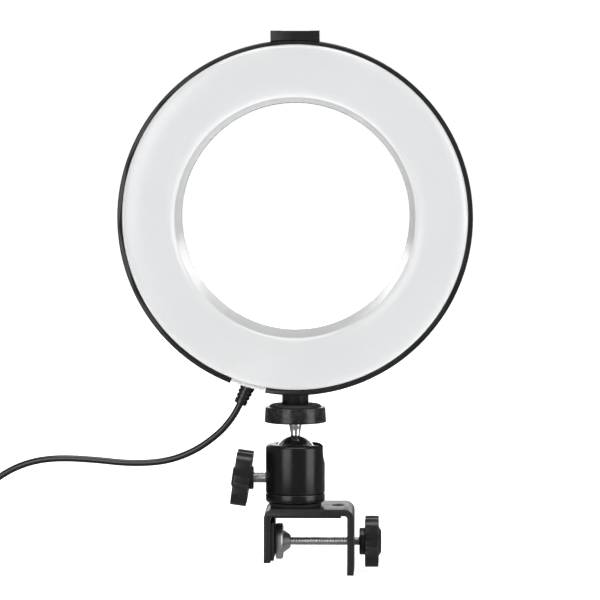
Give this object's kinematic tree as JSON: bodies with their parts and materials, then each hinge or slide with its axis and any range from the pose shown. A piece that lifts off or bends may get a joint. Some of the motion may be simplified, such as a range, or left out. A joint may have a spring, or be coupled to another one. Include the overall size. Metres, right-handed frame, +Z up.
{
  "type": "ring light",
  "caption": "Small ring light with a diffused annular front, on a ball head bolted to a U-shaped edge clamp, with a cord, an in-line push-button control and a plug.",
  "frame": {"origin": "underside of the pad under the clamp's web, on the ball head's axis", "axes": "+Z up along the ball head's axis towards the ring, the light faces -Y, +X from the short jaw to the clamping screw's knob"},
  "size_m": [0.3185, 0.0472, 0.2445],
  "materials": {
    "powder_coat": "satin",
    "black_alloy": "satin",
    "pad_rubber": "matte",
    "zinc_steel": "satin",
    "chrome": "polished",
    "brass": "satin",
    "knob_plastic": "satin",
    "casing_plastic": "satin",
    "diffuser_plastic": "satin",
    "white_plastic": "matte",
    "led_resin": "glossy",
    "circuit_board": "satin",
    "cord_rubber": "satin",
    "tie_fabric": "matte",
    "button_rubber": "matte"
  },
  "bodies": {
    "clamp": {"clamp_bracket": "powder_coat", "web_pad": "pad_rubber", "jaw_pad": "pad_rubber", "head_bolt": "zinc_steel", "head_washer": "pad_rubber", "head_base": "black_alloy", "head_body": "black_alloy", "pressure_cup": "white_plastic", "set_screw": "zinc_steel"},
    "foot": {"clamp_foot": "zinc_steel"},
    "clamp_spindle": {"clamp_screw": "zinc_steel", "clamp_knob": "knob_plastic", "clamp_knob_cap": "knob_plastic"},
    "tip": {"lock_tip": "brass"},
    "lock_spindle": {"lock_screw": "zinc_steel", "lock_knob": "knob_plastic", "lock_knob_cap": "knob_plastic"},
    "ball": {"ball": "chrome"},
    "stem": {"stem": "chrome"},
    "ring": {"stud": "zinc_steel", "neck_insert": "brass", "ring_housing": "casing_plastic", "diffuser": "diffuser_plastic", "led_board": "white_plastic", "led_chips": "led_resin", "led_resistors": "knob_plastic", "board_screws": "zinc_steel", "cold_shoe": "casing_plastic", "strain_relief": "cord_rubber", "supply_leads": "cord_rubber", "cord": "cord_rubber", "cord_coil": "cord_rubber", "cord_tail": "cord_rubber", "cord_tie": "tie_fabric", "controller_base": "casing_plastic", "controller_lid": "casing_plastic", "controller_board": "circuit_board", "controller_switches": "knob_plastic", "plug_lead": "cord_rubber", "plug_grip": "cord_rubber", "plug_shell": "zinc_steel", "plug_tongue": "white_plastic"},
    "disc_pad": {"pad_disc": "pad_rubber"},
    "disc": {"lock_disc": "black_alloy"},
    "power_key": {"button_power": "button_rubber"},
    "colour_key": {"button_colour": "button_rubber"},
    "brighter_key": {"button_brighter": "button_rubber"},
    "dimmer_key": {"button_dimmer": "button_rubber"}
  },
  "joints": [
    {"name": "tilt_fore_aft", "type": "hinge", "parent": "clamp", "child": "ball", "pos_m": [0, 0, 0.0257], "axis": [1, 0, 0], "range_deg": [-22, 22]},
    {"name": "tilt_side", "type": "hinge", "parent": "ball", "child": "stem", "pos_m": [0, 0, 0.0257], "axis": [0, 1, 0], "range_deg": [-28, 60]},
    {"name": "ring_turn", "type": "hinge", "parent": "stem", "child": "ring", "pos_m": [0, 0, 0.0257], "axis": [0, 0, 1], "range_deg": [-90, 90]},
    {"name": "disc_climb", "type": "slide", "parent": "ring", "child": "disc_pad", "axis": [0, 0, -1], "range_m": [0, 0.0012]},
    {"name": "disc_turn", "type": "hinge", "parent": "disc_pad", "child": "disc", "pos_m": [0, 0, 0.0454], "axis": [0, 0, -1], "range_deg": [0, 340.5]},
    {"name": "lock_travel", "type": "slide", "parent": "clamp", "child": "tip", "axis": [-1, 0, 0], "range_m": [0, 0.0016]},
    {"name": "lock_turn", "type": "hinge", "parent": "tip", "child": "lock_spindle", "pos_m": [-0.02, 0, 0.01645], "axis": [-1, 0, 0], "range_deg": [0, 720.1]},
    {"name": "clamp_travel", "type": "slide", "parent": "clamp", "child": "foot", "axis": [1, 0, 0], "range_m": [0, 0.0238]},
    {"name": "clamp_turn", "type": "hinge", "parent": "foot", "child": "clamp_spindle", "pos_m": [0.03, 0, -0.0124], "axis": [1, 0, 0], "range_deg": [0, 12240.1]},
    {"name": "press_power", "type": "slide", "parent": "ring", "child": "power_key", "axis": [0, 0, -1], "range_m": [0, 0.0004], "stiffness_N_per_m": 400},
    {"name": "press_colour", "type": "slide", "parent": "ring", "child": "colour_key", "axis": [0, 0, -1], "range_m": [0, 0.0004], "stiffness_N_per_m": 400},
    {"name": "press_brighter", "type": "slide", "parent": "ring", "child": "brighter_key", "axis": [0, 0, -1], "range_m": [0, 0.0004], "stiffness_N_per_m": 400},
    {"name": "press_dimmer", "type": "slide", "parent": "ring", "child": "dimmer_key", "axis": [0, 0, -1], "range_m": [0, 0.0004], "stiffness_N_per_m": 400}
  ],
  "couplings": [
    {"joint": "disc_turn", "follows": "disc_climb", "rad_per_m": 4947.4},
    {"joint": "lock_turn", "follows": "lock_travel", "rad_per_m": 7854},
    {"joint": "clamp_turn", "follows": "clamp_travel", "rad_per_m": 8976}
  ]
}
